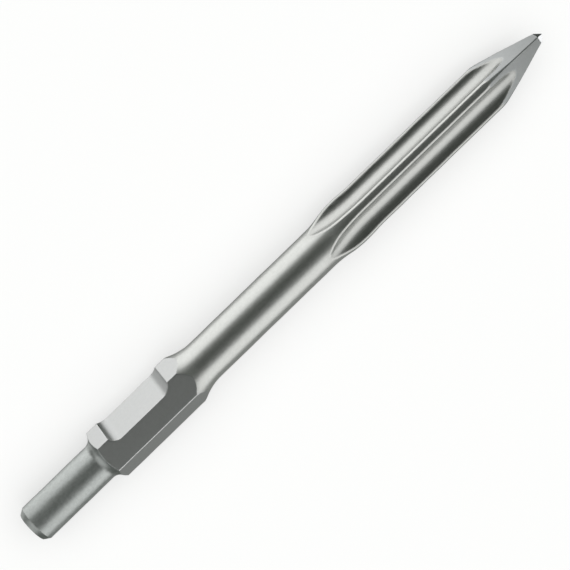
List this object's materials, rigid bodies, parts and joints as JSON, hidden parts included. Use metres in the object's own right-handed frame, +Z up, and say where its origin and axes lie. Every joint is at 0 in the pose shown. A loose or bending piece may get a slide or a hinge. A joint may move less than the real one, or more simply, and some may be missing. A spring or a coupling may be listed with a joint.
{
  "type": "pointed chisel",
  "caption": "One-piece forged steel pointed chisel: round nose, hexagon shank with a latch notch, round shaft, fluted blade and a four-sided point.",
  "frame": {"origin": "centre of the butt face, on the chisel's axis", "axes": "+X along the axis from the butt to the point, +Z up as the chisel lies on a flat of its shank"},
  "size_m": [0.4, 0.0344, 0.03],
  "materials": {
    "steel": "fine blasted satin steel"
  },
  "bodies": {
    "root": {"pointed_chisel": "steel"}
  },
  "joints": []
}
